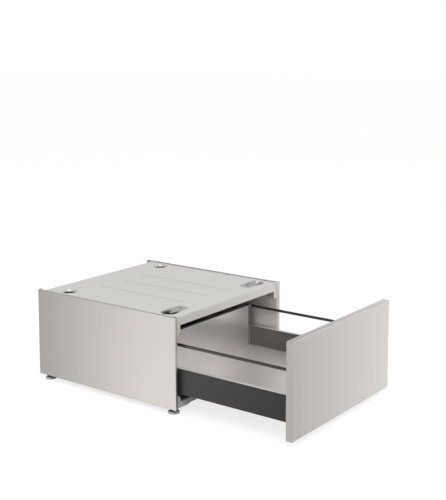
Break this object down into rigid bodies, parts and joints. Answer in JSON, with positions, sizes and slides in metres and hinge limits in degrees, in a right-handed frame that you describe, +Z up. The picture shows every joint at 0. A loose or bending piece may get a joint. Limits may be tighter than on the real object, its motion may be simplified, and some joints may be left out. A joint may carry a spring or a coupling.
{
  "type": "washer pedestal drawer",
  "caption": "Low steel pedestal for a laundry machine, with a full-width pull-out drawer on telescopic ball slides, dished seats for the machine and screw feet.",
  "frame": {"origin": "on the floor under the centre of the whole object's box, with the drawer pulled out 412 mm as pictured", "axes": "+Z up, +X to the right of a person facing the drawer front, -Y towards that person; the drawer slides along Y"},
  "size_m": [0.597, 1.0556, 0.322],
  "materials": {
    "satin_steel": "satin warm light grey",
    "frame_steel": "satin light grey",
    "zinc_steel": "zinc plated",
    "ball_steel": "hardened balls in a thin steel cage",
    "anthracite": "semi-gloss powder coat",
    "lining_steel": "dark metallic lacquer",
    "rod_chrome": "polished",
    "grey_plastic": "moulded",
    "rubber": "matte",
    "board": "raw board filling, not visible"
  },
  "bodies": {
    "cabinet": {"left_side_panel": "satin_steel", "right_side_panel": "satin_steel", "left_inner_side": "frame_steel", "right_inner_side": "frame_steel", "top_plate": "satin_steel", "foot_seat_pads": "rubber", "left_foot_clip": "zinc_steel", "right_foot_clip": "zinc_steel", "foot_clip_screws": "zinc_steel", "top_front_rail": "frame_steel", "bottom_front_rail": "frame_steel", "front_cross_rail": "zinc_steel", "rear_cross_rail": "zinc_steel", "rear_bottom_rail": "zinc_steel", "back_panel": "zinc_steel", "base_plate": "zinc_steel", "cabinet_screws": "zinc_steel", "front_left_foot_bracket": "zinc_steel", "front_right_foot_bracket": "zinc_steel", "rear_left_foot_bracket": "zinc_steel", "rear_right_foot_bracket": "zinc_steel", "lock_nuts": "zinc_steel", "left_cabinet_rail": "zinc_steel", "right_cabinet_rail": "zinc_steel", "rail_screws": "zinc_steel"},
    "drawer": {"front_skin": "satin_steel", "front_core": "board", "front_inner_plate": "satin_steel", "front_bumpers": "rubber", "front_fixing_screws": "zinc_steel", "left_front_bracket": "zinc_steel", "right_front_bracket": "zinc_steel", "left_drawer_wall": "anthracite", "right_drawer_wall": "anthracite", "left_wall_lining": "lining_steel", "right_wall_lining": "lining_steel", "drawer_floor": "satin_steel", "drawer_back": "satin_steel", "left_rear_bracket": "anthracite", "right_rear_bracket": "anthracite", "left_gallery_rod": "rod_chrome", "right_gallery_rod": "rod_chrome", "rod_front_sockets": "grey_plastic", "rod_rear_caps": "grey_plastic", "left_drawer_rail": "zinc_steel", "right_drawer_rail": "zinc_steel"},
    "left_middle_slide": {"left_middle_rail": "zinc_steel"},
    "left_outer_cage": {"left_outer_ball_cage": "ball_steel"},
    "left_inner_cage": {"left_inner_ball_cage": "ball_steel"},
    "right_middle_slide": {"right_middle_rail": "zinc_steel"},
    "right_outer_cage": {"right_outer_ball_cage": "ball_steel"},
    "right_inner_cage": {"right_inner_ball_cage": "ball_steel"},
    "front_left_foot": {"front_left_foot_stem": "anthracite", "front_left_foot_pad": "grey_plastic"},
    "front_right_foot": {"front_right_foot_stem": "anthracite", "front_right_foot_pad": "grey_plastic"},
    "rear_left_foot": {"rear_left_foot_stem": "anthracite", "rear_left_foot_pad": "grey_plastic"},
    "rear_right_foot": {"rear_right_foot_stem": "anthracite", "rear_right_foot_pad": "grey_plastic"}
  },
  "joints": [
    {"name": "drawer_slide", "type": "slide", "parent": "cabinet", "child": "drawer", "axis": [0, -1, 0], "range_m": [-0.412, 0.088]},
    {"name": "left_middle_slide_run", "type": "slide", "parent": "cabinet", "child": "left_middle_slide", "axis": [0, -1, 0], "range_m": [-0.206, 0.044]},
    {"name": "left_outer_cage_run", "type": "slide", "parent": "cabinet", "child": "left_outer_cage", "axis": [0, -1, 0], "range_m": [-0.103, 0.022]},
    {"name": "left_inner_cage_run", "type": "slide", "parent": "cabinet", "child": "left_inner_cage", "axis": [0, -1, 0], "range_m": [-0.309, 0.066]},
    {"name": "right_middle_slide_run", "type": "slide", "parent": "cabinet", "child": "right_middle_slide", "axis": [0, -1, 0], "range_m": [-0.206, 0.044]},
    {"name": "right_outer_cage_run", "type": "slide", "parent": "cabinet", "child": "right_outer_cage", "axis": [0, -1, 0], "range_m": [-0.103, 0.022]},
    {"name": "right_inner_cage_run", "type": "slide", "parent": "cabinet", "child": "right_inner_cage", "axis": [0, -1, 0], "range_m": [-0.309, 0.066]},
    {"name": "front_left_foot_height", "type": "slide", "parent": "cabinet", "child": "front_left_foot", "axis": [0, 0, -1], "range_m": [0, 0.015]},
    {"name": "front_right_foot_height", "type": "slide", "parent": "cabinet", "child": "front_right_foot", "axis": [0, 0, -1], "range_m": [0, 0.015]},
    {"name": "rear_left_foot_height", "type": "slide", "parent": "cabinet", "child": "rear_left_foot", "axis": [0, 0, -1], "range_m": [0, 0.015]},
    {"name": "rear_right_foot_height", "type": "slide", "parent": "cabinet", "child": "rear_right_foot", "axis": [0, 0, -1], "range_m": [0, 0.015]}
  ],
  "couplings": [
    {"joint": "left_middle_slide_run", "follows": "drawer_slide", "ratio": 0.5},
    {"joint": "left_outer_cage_run", "follows": "drawer_slide", "ratio": 0.25},
    {"joint": "left_inner_cage_run", "follows": "drawer_slide", "ratio": 0.75},
    {"joint": "right_middle_slide_run", "follows": "drawer_slide", "ratio": 0.5},
    {"joint": "right_outer_cage_run", "follows": "drawer_slide", "ratio": 0.25},
    {"joint": "right_inner_cage_run", "follows": "drawer_slide", "ratio": 0.75}
  ]
}
